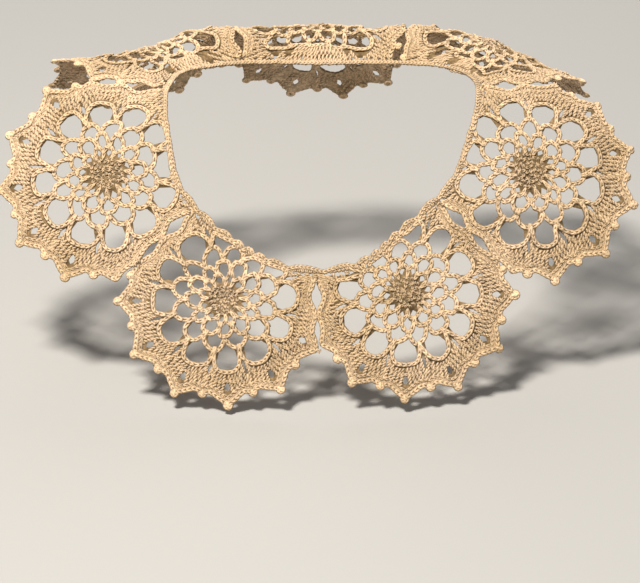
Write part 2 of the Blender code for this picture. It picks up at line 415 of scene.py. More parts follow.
# Shader groups shared by the yarn and the ground under it
def plyGroup():
    # plies twisted along the yarn's length, with fuzz on them
    group = bpy.data.node_groups.new("twistedPly", "ShaderNodeTree")
    addSockets(group, "INPUT", Float={"Ply Count": 3.0, "Twist Length": 5.0,
                                      "Fuzz Scale": 2600.0, "Fuzz": 0.35})
    addSockets(group, "OUTPUT", Float={"Height": None, "Groove": None})
    inside = addNode(group, "NodeGroupInput").outputs
    yarn = addNode(group, "ShaderNodeUVMap", uv_map="yarnLength").outputs["UV"]
    along = addNode(group, "ShaderNodeSeparateXYZ", {0: yarn}).outputs
    turns = addMath(group, "DIVIDE", along["X"], inside["Twist Length"])
    around = addMath(group, "ADD", turns, along["Y"])
    plies = addMath(group, "MULTIPLY", around, inside["Ply Count"])
    wave = addMath(group, "SINE", addMath(group, "MULTIPLY", plies, math.pi))
    ridge = addMath(group, "ABSOLUTE", wave)
    fuzz = addNoise(group, inside["Fuzz Scale"], 3.0, 0.7)
    height = addMath(group, "MULTIPLY_ADD", fuzz, inside["Fuzz"], ridge)
    addNode(group, "NodeGroupOutput", {"Height": height, "Groove": ridge})
    return group


def toneGroup():
    # uneven colour of unbleached cotton: broad soft patches and small flecks
    group = bpy.data.node_groups.new("unevenCotton", "ShaderNodeTree")
    addSockets(group, "INPUT", Color={"Light": None, "Dark": None},
               Float={"Patch Scale": 22.0, "Fleck Scale": 700.0, "Fleck": 0.3})
    addSockets(group, "OUTPUT", Color={"Color": None})
    inside = addNode(group, "NodeGroupInput").outputs
    patch = addNoise(group, inside["Patch Scale"], 2.0)
    fleck = addNoise(group, inside["Fleck Scale"], 4.0, 0.65)
    both = addNode(group, "ShaderNodeMix", {0: inside["Fleck"], 2: patch, 3: fleck},
                   data_type="FLOAT")
    spread = addRange(group, both.outputs[0], 0.36, 0.64)
    mixed = addMix(group, spread, inside["Dark"], inside["Light"])
    addNode(group, "NodeGroupOutput", {"Color": mixed})
    return group


twistedPly, unevenCotton = plyGroup(), toneGroup()


def newMaterial(name, look):
    material = bpy.data.materials.new(name)
    material.use_nodes = True
    tree = material.node_tree
    shader = tree.nodes["Principled BSDF"]
    feed(tree, shader, {"Roughness": look["roughness"], "Specular IOR Level": look["specular"]})
    return material, tree, shader


yarnLook = {
    "light": (0.81, 0.592, 0.39, 1),
    "dark": (0.63, 0.44, 0.245, 1),
    # painted shade: the dark colour the yarn takes on the sides of its strands and in its ply
    # grooves, where shade would fall
    "paintedCreviceShade": (0.185, 0.115, 0.048, 1),
    # painted shade: the share of the tone left at the bottom of the grooves between the plies
    "paintedGrooveTone": 0.62,
    "tints": (0.86, 1.12),  # the darkest and lightest stitches
    "roughness": 0.78,
    "specular": 0.35,
    "sheen": 0.22,
    "sheenRoughness": 0.45,
    "bump": 0.8,
    "bumpDistance": 0.00025,
}


def yarnMaterial():
    look = yarnLook
    material, tree, shader = newMaterial("ecruYarn", look)
    tone = addNode(tree, "ShaderNodeGroup", {"Light": look["light"], "Dark": look["dark"]},
                   node_tree=unevenCotton)
    ply = addNode(tree, "ShaderNodeGroup", node_tree=twistedPly)
    depth = addNode(tree, "ShaderNodeAttribute", attribute_name="paintedShadeDepth")
    tint = addNode(tree, "ShaderNodeAttribute", attribute_name="stitchTint")
    plyGroovePaintedShade = addRange(tree, ply.outputs["Groove"], 0.0, 0.55, look["paintedGrooveTone"])
    # painted shade: the share of the yarn's own tone that is left, least on the strands' sides and
    # in the ply grooves
    paintedLitShare = addMath(tree, "MULTIPLY", plyGroovePaintedShade, depth.outputs["Fac"])
    shaded = addMix(tree, paintedLitShare, look["paintedCreviceShade"], tone.outputs["Color"])
    lift = addRange(tree, tint.outputs["Fac"], 0.0, 1.0, *look["tints"], clamp=False)
    varied = addMix(tree, 1.0, shaded, lift, "MULTIPLY")
    feed(tree, shader, {"Base Color": varied, "Normal": addBump(tree, ply.outputs["Height"], look),
                        "Sheen Weight": look["sheen"], "Sheen Roughness": look["sheenRoughness"]})
    return material


groundLook = {
    # painted shade: the dark tones of the ground's outside, seen in the gaps between the stitches
    "outer": {"Light": (0.36, 0.24, 0.12, 1), "Dark": (0.22, 0.14, 0.06, 1)},
    "inner": {"Light": (0.80, 0.59, 0.385, 1), "Dark": (0.6, 0.43, 0.255, 1)},
    "rowScale": 420.0,
    "roughness": 0.9,
    "specular": 0.25,
    "bump": 0.8,
    "bumpDistance": 0.0005,
}


def groundMaterial(name, tones):
    # the ground between the stitches: painted shade outside, the backs of the stitches inside
    look = groundLook
    material, tree, shader = newMaterial(name, look)
    place = addNode(tree, "ShaderNodeTexCoord").outputs["Object"]
    rows = addNode(tree, "ShaderNodeTexVoronoi", {"Vector": place, "Scale": look["rowScale"]},
                   feature="F1").outputs["Distance"]
    tone = addNode(tree, "ShaderNodeGroup", tones, node_tree=unevenCotton)
    # painted shade: darker towards each cell's border, in the grooves between the bumps
    paintedShadeRamp = addRange(tree, rows, 0.15, 0.75, 1.0, 0.5)
    shaded = addMix(tree, 1.0, tone.outputs["Color"], paintedShadeRamp, "MULTIPLY")
    feed(tree, shader, {"Base Color": shaded, "Normal": addBump(tree, rows, look, invert=True)})
    return material


ecruYarn = yarnMaterial()
groundPaintedShade = groundMaterial("ecruGroundShaded", groundLook["outer"])
groundInner = groundMaterial("ecruStitchBacks", groundLook["inner"])
print("yarn materials ready")

# Stitch models, worked along +X with +Z facing out, in mm
stitchSizes = {
    "yarnRadius": 0.57,
    "chainLength": 3.1,
    "postLength": 5.0,
    "shortLength": 3.0,
    "picotLength": 4.8,
    "sides": 5,
    # points along each run, and the yarn's thickness in it
    "chain": (11, 1.0),
    "post": (6, 1.2),
    "short": (4, 1.05),
    "bead": (12, 1.7),
    "cross": (7, 1.7),
    "wobble": 0.07,  # how far each stitch is turned by chance, in radians
    "variation": 0.06,
}
stitchKinds = {"chain": 0, "post": 1, "short": 2, "picot": 3}


def yarnTube(x, y, z, thick, closed=False):
    # one run of yarn: points, faces, length and turn at each face corner, depth in the stitch for
    # the painted shade
    path, radius = np.stack([x, y, z], 1), stitchSizes["yarnRadius"] * thick
    sides, count = stitchSizes["sides"], len(path)
    around = np.roll(path, -1, 0) - np.roll(path, 1, 0)
    tangent = unit(around if closed else np.gradient(path, axis=0))
    aside = unit(np.cross([0.0, 0.0, 1.0], tangent))
    up = np.cross(tangent, aside)
    turn = np.arange(sides) / sides * 2 * math.pi
    ring = np.cos(turn)[:, None] * aside[:, None, :] + np.sin(turn)[:, None] * up[:, None, :]
    points = (path[:, None, :] + radius * ring).reshape(-1, 3)
    length = lengthAlong(np.concatenate([path, path[:1]]))
    faces, corners = [], []
    for i in range(count if closed else count - 1):
        j = (i + 1) % count
        for k in range(sides):
            m = (k + 1) % sides
            faces.append((i * sides + k, i * sides + m, j * sides + m, j * sides + k))
            corners += [(length[i], k / sides), (length[i], (k + 1) / sides),
                        (length[i + 1], (k + 1) / sides), (length[i + 1], k / sides)]
    if not closed:
        faces += [tuple(range(sides))[::-1], tuple(range((count - 1) * sides, count * sides))]
        corners += [(0.0, 0.0)] * sides + [(length[count - 1], 0.0)] * sides
    # painted shade: points near the stitch's middle plane, on the strand's sides, are darkened
    # towards the crevice colour; points far above or below it keep the full tone
    depth = np.clip((np.abs(points[:, 2]) - 0.05) / 0.8, 0, 1) ** 1.1
    return points, faces, corners, depth


def stitchModel(name, runs):
    points, faces, corners, depths, start = [], [], [], [], 0
    for p, f, c, d in runs:
        points.append(p)
        faces += [tuple(i + start for i in face) for face in f]
        corners += c
        depths.append(d)
        start += len(p)
    mesh = newMesh(name, np.concatenate(points), faces)
    uv = mesh.uv_layers.new(name="yarnLength")
    uv.data.foreach_set("uv", np.array(corners, float).ravel())
    depth = mesh.attributes.new("paintedShadeDepth", "FLOAT", "POINT")
    depth.data.foreach_set("value", np.concatenate(depths))
    stitchModels.objects.link(bpy.data.objects.new(name, mesh))


def chainStitch():
    # a loop drawn through the one before: narrow and raised at its start, wide and low at its head
    count, thick = stitchSizes["chain"]
    t = np.linspace(0, 2 * math.pi, count, endpoint=False)
    length = stitchSizes["chainLength"]
    x = length * (0.52 - 0.84 * np.cos(t))
    y = 0.86 * np.sin(t) * (0.55 + 0.45 * (1 - np.cos(t)) / 2)
    z = -0.05 + 0.62 * np.cos(t) + 0.2 * (1 - np.cos(2 * t)) / 2
    return [yarnTube(x, y, z, thick, True)]


def postStitch():
    # a tall stitch: two runs of yarn twisted round each other, wider at its head
    count, thick = stitchSizes["post"]
    s = np.linspace(0, 1, count)
    runs = []
    for start in (0.2, 0.2 + math.pi):
        twist = start + 2 * math.pi * 0.9 * s
        y, z = (0.5 + 0.3 * s) * np.cos(twist), 0.05 + 0.4 * np.sin(twist)
        runs.append(yarnTube(stitchSizes["postLength"] * s, y, z, thick))
    return runs


def shortStitch():
    # the two legs of a short stitch, spreading to its head
    count, thick = stitchSizes["short"]
    s = np.linspace(0, 1, count)
    x, y, z = stitchSizes["shortLength"] * s, 0.35 + 0.4 * s, 0.1 + 0.3 * np.sin(math.pi * s)
    return [yarnTube(x, side * y, z, thick) for side in (-1, 1)]


def picotStitch():
    # a bobble: a few chains drawn together to a bead, with the yarn crossing over it
    length = stitchSizes["picotLength"]
    count, thick = stitchSizes["bead"]
    t = np.linspace(0, 2 * math.pi, count, endpoint=False)
    x, y, z = length * (0.5 - 0.3 * np.cos(t)), 1.5 * np.sin(t), -0.12 * np.cos(t)
    bead = yarnTube(x, y, z, thick, True)
    count, thick = stitchSizes["cross"]
    s = np.linspace(-1, 1, count)
    over = yarnTube(length * (0.5 + 0.38 * s), 0.5 * s, 0.85 - 0.85 * s**2, thick)
    across = yarnTube(length * (0.5 - 0.12 * s), 1.6 * s, 0.55 - 0.7 * s**2, thick * 0.9)
    return [bead, over, across]


stitchModels = bpy.data.collections.new("stitchModels")
makers = (chainStitch, postStitch, shortStitch, picotStitch)
for (name, number), maker in zip(stitchKinds.items(), makers):
    stitchModel("stitch%d_%s" % (number, name), maker())
print("stitch models ready")


def stitchTree():
    # lays a stitch on every point of a plan, turned and stretched by the plan's attributes
    tree = bpy.data.node_groups.new("layStitches", "GeometryNodeTree")
    addSockets(tree, "INPUT", Geometry={"Plan": None}, Collection={"Stitches": None},
               Float={"Yarn Size": 1.0, "Hand Wobble": 0.08, "Size Variation": 0.06},
               Int={"Seed": None}, Material={"Yarn": None})
    addSockets(tree, "OUTPUT", Geometry={"Crochet": None})
    inside = addNode(tree, "NodeGroupInput").outputs

    def planned(name, kind="FLOAT_VECTOR"):
        node = addNode(tree, "GeometryNodeInputNamedAttribute", {"Name": name}, data_type=kind)
        return node.outputs["Attribute"]

    def chanceVector(seed):
        limits = {0: (-1, -1, -1), 1: (1, 1, 1), "Seed": seed}
        node = addNode(tree, "FunctionNodeRandomValue", limits, data_type="FLOAT_VECTOR")
        return node.outputs[0]

    def vectorMath(operation, values):
        return addNode(tree, "ShaderNodeVectorMath", values, operation=operation).outputs[0]

    turned = addNode(tree, "FunctionNodeAxesToRotation",
                     {0: planned("along"), 1: planned("facing")},
                     primary_axis="X", secondary_axis="Z")
    wobble = vectorMath("SCALE", {0: chanceVector(inside["Seed"]), "Scale": inside["Hand Wobble"]})
    tilt = addNode(tree, "FunctionNodeEulerToRotation", {0: wobble})
    turnedMore = addNode(tree, "FunctionNodeRotateRotation",
                         {0: turned.outputs[0], 1: tilt.outputs[0]}, rotation_space="LOCAL")
    spread = addNode(tree, "ShaderNodeCombineXYZ",
                     {axis: inside["Size Variation"] for axis in range(3)})
    sizeSeed = addMath(tree, "ADD", inside["Seed"], 57)
    vary = vectorMath("MULTIPLY_ADD",
                      {0: chanceVector(sizeSeed), 1: spread.outputs[0], 2: (1, 1, 1)})
    stretch = vectorMath("MULTIPLY", {0: planned("stretch"), 1: vary})
    size = vectorMath("SCALE", {0: stretch, "Scale": inside["Yarn Size"]})
    models = addNode(tree, "GeometryNodeCollectionInfo",
                     {"Collection": inside["Stitches"], "Separate Children": True,
                      "Reset Children": True})
    lay = addNode(tree, "GeometryNodeInstanceOnPoints",
                  {"Points": inside["Plan"], "Instance": models.outputs[0], "Pick Instance": True,
                   "Instance Index": planned("kind", "INT"), "Rotation": turnedMore.outputs[0],
                   "Scale": size})
    shade = addNode(tree, "FunctionNodeRandomValue", {"Seed": inside["Seed"]}, data_type="FLOAT")
    toned = addMath(tree, "ADD", shade.outputs[1], planned("tone", "FLOAT"))
    tint = addNode(tree, "GeometryNodeStoreNamedAttribute",
                   {"Geometry": lay.outputs[0], "Name": "stitchTint", "Value": toned},
                   data_type="FLOAT", domain="INSTANCE")
    realize = addNode(tree, "GeometryNodeRealizeInstances", {0: tint.outputs[0]})
    paint = addNode(tree, "GeometryNodeSetMaterial",
                    {"Geometry": realize.outputs[0], "Material": inside["Yarn"]})
    addNode(tree, "NodeGroupOutput", {"Crochet": paint.outputs[0]})
    return tree


layStitches = stitchTree()
planColumns = ("start", "end", "kind", "width", "lift", "tone")


def newPlan():
    return {key: [] for key in planColumns}


def addStitches(plan, kind, start, end, width=1.0, lift=0.0, tone=0.0):
    columns = [np.atleast_2d(start), np.atleast_2d(end)]
    for value in (stitchKinds[kind], width, lift, tone):
        columns.append(np.full(len(columns[0]), value))
    for key, column in zip(planColumns, columns):
        plan[key].append(column)


def addChain(plan, line, width, lift, tone=0.0, spacing=stitchSizes["chainLength"]):
    line = resample(line, spacing)
    addStitches(plan, "chain", line[:-1], line[1:], width, lift, tone)


def crochet(name, plan, place, height, seed):
    # turns a plan into one mesh of stitches. place lays its points on the form
    start, end, kind, width, lift, tone = (np.concatenate(plan[key]) for key in planColumns)
    middle, facing = place((start + end) / 2)
    along = place(end)[0] - place(start)[0]
    usual = np.array([stitchSizes[each + "Length"] for each in stitchKinds])[kind]
    longer = np.linalg.norm(along, axis=1) / usual
    mesh = newMesh(name + "_plan", middle - along / 2 + facing * (height + lift)[:, None])
    for key, values in (("along", along), ("facing", facing),
                        ("stretch", np.stack([longer, width, np.ones(len(width))], 1))):
        mesh.attributes.new(key, "FLOAT_VECTOR", "POINT").data.foreach_set("vector", values.ravel())
    mesh.attributes.new("kind", "INT", "POINT").data.foreach_set("value", kind.astype(np.int32))
    mesh.attributes.new("tone", "FLOAT", "POINT").data.foreach_set("value", tone)
    holder = addObject(name + "_plan", mesh)
    modifier = holder.modifiers.new("layStitches", "NODES")
    modifier.node_group = layStitches
    inputs = {"Stitches": stitchModels, "Yarn Size": 1.0, "Hand Wobble": stitchSizes["wobble"],
              "Size Variation": stitchSizes["variation"], "Seed": seed, "Yarn": ecruYarn}
    for item in layStitches.interface.items_tree:
        if item.name in inputs:
            modifier[item.identifier] = inputs[item.name]
    graph = bpy.context.evaluated_depsgraph_get()
    made = bpy.data.meshes.new_from_object(holder.evaluated_get(graph))
    made.name = name
    piece = addObject(name, made)
    bpy.data.objects.remove(holder)
    return piece


# One motif: a rosette, four rings of chain arches, twelve fans and a pointed edge with picots.
# Its sizes are mm in the motif's plane, widths and tones are shares of a usual stitch's
rosettePlan = {
    "rows": ((1, 0.0), (6, 2.1), (12, 4.2), (18, 6.3), (25, 8.5)),  # loops, radius
    "turned": 0.25,
    "moved": 0.3,
    "halfLoop": 0.72,
    "width": (0.8, 0.98),
    "lift": (-0.3, 0.25),
    "tone": (-0.6, 0.2),
}


def planRosette(plan, chance):
    # rows of small loops that lie every way
    own = rosettePlan
    for count, radius in own["rows"]:
        steps = np.arange(count) + chance.uniform(-own["turned"], own["turned"], count)
        moved = radius + chance.uniform(-own["moved"], own["moved"], count)
        middle = polar(moved, steps * 360.0 / count)
        half = polar(np.full(count, own["halfLoop"]), chance.uniform(0, 360, count))
        width, lift, tone = (chance.uniform(*own[key], count) for key in ("width", "lift", "tone"))
        addStitches(plan, "chain", middle - half, middle + half, width, lift, tone)


def fromAxis(axis, local):
    # a petal's own (across, outwards) points in the motif's plane
    axis = math.radians(axis)
    local = np.atleast_2d(local)
    across = np.array([math.cos(axis), -math.sin(axis)])
    outwards = np.array([math.sin(axis), math.cos(axis)])
    return local[:, :1] * across + local[:, 1:] * outwards


def keptInside(points, reach):
    radius = np.hypot(points[:, 0], points[:, 1])
    angle = np.degrees(np.arctan2(points[:, 0], points[:, 1]))
    return polar(np.minimum(radius, atAngle(reach, angle)), angle), radius, angle


def noteReach(drawn, angle, radius):
    # how far out the lace reaches near an angle
    near = np.mod(np.arange(-2, 3) + int(round(angle)), 360)
    drawn[near] = np.maximum(drawn[near], radius)


archPlan = {
    # half an arch from its foot to its crown: across and outwards from its own axis.
    # lifts are those of every other arch
    "rings": (
        {"offset": 0.5, "width": 1.0, "lifts": (-0.1, 0.15),
         "half": ((2.6, 9.9), (2.8, 13.0), (1.9, 15.3), (0, 16.2))},
        {"offset": 0.0, "width": 1.2, "lifts": (-0.1, 0.15),
         "half": ((4.4, 15.9), (4.0, 19.3), (2.8, 22.0), (0, 23.0))},
        {"offset": 0.5, "width": 1.24, "lifts": (-0.1, 0.15),
         "half": ((6.3, 22.4), (5.6, 26.3), (4.1, 29.7), (0, 31.2))},
        {"offset": 0.0, "width": 1.2, "lifts": (0.6, 0.6),
         "half": ((8.3, 30.6), (8.0, 35.3), (7.3, 39.6), (4.8, 42.8), (0, 43.9))},
    ),
    "wider": 0.06,  # how far one arch differs from the next
    "moved": 0.3,
    "taller": 0.04,
    "tone": 0.35,
    "neckInset": 1.5,
    "leastShare": 0.3,  # of its height, for an arch that the edge cuts
    "footSlack": 3.0,
    "joint": (-1.9, 1.5),  # a short stitch over each crown, from and to
    "jointWidth": 1.2,
    "jointLift": 0.15,
    "rosetteReach": 10.0,
}


def planArches(plan, motif, reach, chance):
    own = archPlan
    drawn = np.full(360, own["rosetteReach"])
    for ring in own["rings"]:
        half = curveThrough(ring["half"])
        whole = np.concatenate([half, (half * [-1, 1])[::-1][1:]])
        foot, crown = half[0, 1], half[-1, 1]
        for petal in range(motifSizes["petals"]):
            axis = motif["spin"] + (petal + ring["offset"]) * petalAngle
            wider, moved, taller = (chance.uniform(-own[key], own[key])
                                    for key in ("wider", "moved", "taller"))
            arch = whole * [1 + wider, 1] + [moved, 0]
            arch[:, 1] = foot + (arch[:, 1] - foot) * (1 + taller)
            line, radius, angle = keptInside(fromAxis(axis, arch), reach)
            top = atAngle(reach, axis)
            tooLow = min(top, crown) - foot < own["leastShare"] * (crown - foot)
            if tooLow or radius[0] > atAngle(reach, angle[0]) + own["footSlack"]:
                continue
            addChain(plan, line, ring["width"], ring["lifts"][petal % 2], own["tone"])
            for each, far in zip(angle, np.hypot(*line.T)):
                noteReach(drawn, each, far)
            if ring is not own["rings"][-1] and top > crown:
                joint = fromAxis(axis, [(0, crown + end) for end in own["joint"]])
                addStitches(plan, "short", joint[:1], joint[1:],
                            own["jointWidth"], own["jointLift"])
    return drawn


fanPlan = {
    "feet": (-8.0, -6.6, -4.8, -2.9, -1.0, 1.0, 2.9, 4.8, 6.6, 8.0),  # mm across, on the arch
    "heads": (-13.9, -11.3, -8.7, -6.1, -3.6, 3.6, 6.1, 8.7, 11.3, 13.9),  # degrees off the axis
    "eyeletFrom": 54.0,  # a lower fan has one more stitch in place of its eyelet
    "footLift": 1.7,
    "inset": 4.5,
    "neckInset": 1.2,
    "headLimit": 57.0,
    "leastHead": 38.0,
    "least": 2.2,
    "tall": 3.8,
    "oneRow": 5.5,
    "rowLength": 4.1,
    "width": (0.95, 1.15),
    "tone": -0.2,
    "uneven": (0.1, 0.15),  # how far short and long posts stand up or down
    "headRows": ((1, 0), (2, -1), (2, 1)),  # row of heads, side of the eyelet or 0 for both
    "headWidth": 0.85,
    "headLift": 0.15,
    "headSpacing": 2.2,
    "between": 46.8,  # where the stitch between two fans stands
    "betweenLeast": 5.0,
    "betweenWidth": 1.1,
    "betweenLift": -0.1,
}


def planFans(plan, motif, rowFoot, drawn, chance):
    # rows of tall stitches on the outermost arches, with the rows' heads between
    own = fanPlan
    low, high = own["uneven"]
    heads = np.minimum(rowFoot, own["headLimit"])
    arch = curveThrough(archPlan["rings"][-1]["half"])[::-1]
    for petal in range(motifSizes["petals"]):
        axis = motif["spin"] + petal * petalAngle
        posts = list(zip(own["feet"], own["heads"]))
        if atAngle(heads, axis) <= own["eyeletFrom"]:
            posts = sorted(posts + [(0.0, 0.0)])
        lines = []
        for foot, head in posts:
            base = np.interp(abs(foot), arch[:, 0], arch[:, 1]) + own["footLift"]
            start = keptInside(fromAxis(axis, [(foot, base)]), heads)[0]
            reach = atAngle(heads, axis + head)
            end = polar(reach, axis + head)[None, :]
            long = np.linalg.norm(end - start)
            if long < own["least"] or reach < own["leastHead"]:
                continue
            noteReach(drawn, axis + head, reach)
            if long < own["oneRow"]:
                kind = "post" if long > own["tall"] else "short"
                addStitches(plan, kind, start, end, 1.0, chance.uniform(-low, low))
                continue
            count = int(round(long / own["rowLength"]))
            line = start + (end - start) * np.linspace(0, 1, count + 1)[:, None]
            addStitches(plan, "post", line[:-1], line[1:], np.linspace(*own["width"], count),
                        chance.uniform(-high, high, count), own["tone"])
            lines.append((head, line))
        for row, side in own["headRows"]:
            points = [line[row] for head, line in lines if len(line) > row + 1 and head * side >= 0]
            if len(points) > 2:
                addChain(plan, np.array(points), own["headWidth"], own["headLift"],
                         spacing=own["headSpacing"])
        valley = axis + petalAngle / 2
        start = keptInside(polar(np.array([own["between"]]), valley), heads)[0]
        end = polar(atAngle(heads, valley), valley)[None, :]
        if np.linalg.norm(end - start) > own["betweenLeast"]:
            addStitches(plan, "post", start, end, own["betweenWidth"], own["betweenLift"])


neckFillPlan = {
    "past": 0.6,
    "from": 0.7,
    "least": 1.8,
    "rowLength": 5.5,
    "tall": 4.0,
    "stitches": (("short", 1.3), ("post", 1.0)),  # for low and tall rows, with their widths
    "lift": -0.1,
    "spacing": 2.5,
    "leastRadius": 20.0,
}


def planNeckFill(plan, edge, atNeck, drawn):
    # stitches that fill up to the neck edging
    own = neckFillPlan
    far = edge + own["past"]
    room = far - drawn
    angle = 0.0
    while angle < 360:
        here = int(angle)
        if atNeck[here] and room[here] > own["least"]:
            rows = max(1, int(round(room[here] / own["rowLength"])))
            points = polar(np.linspace(drawn[here] + own["from"], far[here], rows + 1), angle)
            kind, width = own["stitches"][int(room[here] > own["tall"] * rows)]
            addStitches(plan, kind, points[:-1], points[1:], width, own["lift"])
        angle += math.degrees(own["spacing"] / max(edge[here], own["leastRadius"]))


edgePlan = {
    "height": 1.25,  # of the stitches' middle over the form
    "underEdging": 3.5,
    "inset": 1.35,
    "seamInset": 1.0,
    "leastRun": 8,  # degrees
    "outer": {"width": 1.4, "lift": 0.4, "tone": 0.35, "spacing": 2.9},
    "heads": {"width": 0.9, "lift": 0.1, "spacing": 2.9},
    "shortSpacing": 2.75,
    "shortFoot": 1.01,
    "shortWidth": 0.82,
    "shortLift": -0.25,
    # picots at the points and in the valleys: where they are, the edge there, from, to
    "picots": ((0.0, 65.0, 60.8, 66.6), (0.5, 59.4, 55.8, 60.9)),
    "picotWidth": 1.25,
    "picotLift": 0.1,
    "picotTone": 0.4,
    "picotSlack": 1.2,
    "joinEvery": 3,
    "join": (-1.6, 1.4),
    "joinLift": 0.45,
}


def planEdge(plan, motif, edge, rowFoot, atSeam, atNeck, joins):
    # heads of the tall stitches, short stitches over them, the last row of heads and its picots
    own = edgePlan
    finished = ~atNeck
    outer = np.where(atSeam, edge - own["seamInset"], inset(edge, own["inset"]))
    runs = np.flatnonzero(finished & ~np.roll(finished, 1))
    for first in (runs if len(runs) else [0]):
        count = 360 if finished.all() else int(np.argmin(np.roll(finished, -first)))
        if count < own["leastRun"]:
            continue
        angles = (first + np.arange(count)).astype(float)
        outerLine = polar(atAngle(outer, angles), angles)
        headLine = polar(atAngle(rowFoot, angles), angles)
        addChain(plan, outerLine, **own["outer"])
        addChain(plan, headLine, **own["heads"])
        steps = resample(np.concatenate([outerLine, headLine], axis=1), own["shortSpacing"])
        addStitches(plan, "short", steps[:, 2:] * own["shortFoot"], steps[:, :2],
                    own["shortWidth"], own["shortLift"])
    for petal in range(motifSizes["petals"]):
        for offset, whole, *ends in own["picots"]:
            axis = motif["spin"] + (petal + offset) * petalAngle
            if max(atAngle(edge, axis + a) for a in (-2, 0, 2)) > whole - own["picotSlack"]:
                points = polar(np.array(ends), axis)
                addStitches(plan, "picot", points[:1], points[1:],
                            own["picotWidth"], own["picotLift"], own["picotTone"])
    for angle in np.flatnonzero(joins)[::own["joinEvery"]]:
        points = polar(edge[angle] + np.array(own["join"]), angle)
        addStitches(plan, "short", points[:1], points[1:], 1.0, own["joinLift"])


def planMotif(motif, edge, atSeam, atNeck, joins, chance):
    plan = newPlan()
    planRosette(plan, chance)
    reach = np.where(atNeck, edge - archPlan["neckInset"] - motif["neckFans"],
                     inset(edge, edgePlan["inset"]))
    drawn = planArches(plan, motif, reach, chance)
    rowFoot = np.where(atNeck, edge - fanPlan["neckInset"], inset(edge, fanPlan["inset"]))
    planFans(plan, motif, rowFoot, drawn, chance)
    planNeckFill(plan, edge, atNeck, drawn)
    planEdge(plan, motif, edge, rowFoot, atSeam, atNeck, joins)
    return plan


# The ground: a thin web hidden inside the stitches, which carries the lace's meshes; its dark
# outside is painted shade between the stitches
groundSizes = {
    "height": 0.8,
    "thickness": 0.45,
    "edgeInset": 1.3,
    "neckInset": 0.4,
    "edgeStep": 3.0,  # degrees
    "rim": 2.5,
    "neckReach": 1.0,
    "leastMesh": 1.5,
    # half of each mesh: where it is, then its corners in mm and degrees off its axis
    "meshes": (
        (0.5, ((10.9, 0), (13.2, 6.8), (15.4, 0))),
        (0.0, ((13.4, 0), (17.5, 9.0), (20.4, 7.0), (22.0, 0))),
        (0.5, ((19.2, 0), (24.5, 10.6), (28.4, 7.6), (30.2, 0))),
        (0.0, ((26.4, 0), (31.8, 9.2), (37.8, 10.8), (41.3, 7.6), (42.7, 0))),
        (0.5, ((38.4, 0), (42.2, 1.9), (46.4, 0))),
        (0.0, ((49.8, 0), (52.6, 2.7), (55.4, 0))),
    ),
    "supports": ((0, 1), (7, 12), (47, 24), (51.5, 24)),  # radius and number of inner points
    "supportTurn": 7.5,
    "supportInset": 2.0,
}


def groundMesh(motif, edge, atNeck):
    sizes = groundSizes
    shrunk = np.where(atNeck, edge - sizes["neckInset"], inset(edge, sizes["edgeInset"]))
    reach = np.where(atNeck, edge + sizes["neckReach"] - motif["neckFans"],
                     inset(edge, sizes["rim"]))
    angles = np.arange(0, 360, sizes["edgeStep"])
    rings = [polar(atAngle(shrunk, angles), angles)[::-1]]
    for offset, half in sizes["meshes"]:
        corners = list(half) + [(r, -a) for r, a in reversed(half) if a > 0]
        for petal in range(motifSizes["petals"]):
            axis = motif["spin"] + (petal + offset) * petalAngle
            hole = [(min(r, atAngle(reach, axis + a)), axis + a) for r, a in corners]
            low, high = min(r for r, _ in hole), max(r for r, _ in hole)
            if low >= half[0][0] and high - low >= sizes["leastMesh"]:
                ring = polar(*np.array(hole).T)
                rings.append(ring[geometry.convex_hull_2d([Vector(p) for p in ring])])
    points, faces = [], []
    for ring in rings:
        faces.append(list(range(len(points), len(points) + len(ring))))
        points += [Vector(p) for p in ring]
    for radius, count in sizes["supports"]:
        for angle in np.arange(count) * 360.0 / count + motif["spin"] + sizes["supportTurn"]:
            if radius < atAngle(shrunk, angle) - sizes["supportInset"]:
                points.append(Vector(polar(radius, angle)))
    found = geometry.delaunay_2d_cdt(points, [], faces, 1, 1e-4)
    faces = [face for face, origin in zip(found[2], found[5]) if origin == [0]]
    flat = np.array([tuple(p) for p in found[0]])
    laid, normals = layFlat(motif, flat)
    used = flat * motif["size"] * mm
    area = sum(abs(np.cross(used[b] - used[a], used[c] - used[a])) / 2 for a, b, c in faces)
    faces = [face[::-1] for face in faces]
    return laid + normals * sizes["height"], faces, area, used.max(0) - used.min(0)


def makeWall(name, laid, faces, thickness):
    # a thin wall with painted shade on its outside and the backs of the stitches on its inside
    mesh = newMesh(name, laid, faces)
    mesh.materials.append(groundPaintedShade)
    mesh.materials.append(groundInner)
    piece = addObject(name, mesh)
    wall = piece.modifiers.new("wall", "SOLIDIFY")
    wall.thickness, wall.offset, wall.material_offset = thickness * mm, 1.0, 1
    return piece


def archTurns(motif, edge, atNeck):
    # where round the neck the motif's arches meet it
    angles = np.mod(motif["spin"] + np.arange(0, 360, petalAngle / 2), 360.0)
    angles = angles[atNeck[angles.astype(int)]]
    _, points, _ = walk(motif, angles, atAngle(edge, angles) * motif["size"])
    return list(np.degrees(np.arctan2(points[-1][:, 0], -points[-1][:, 1])))


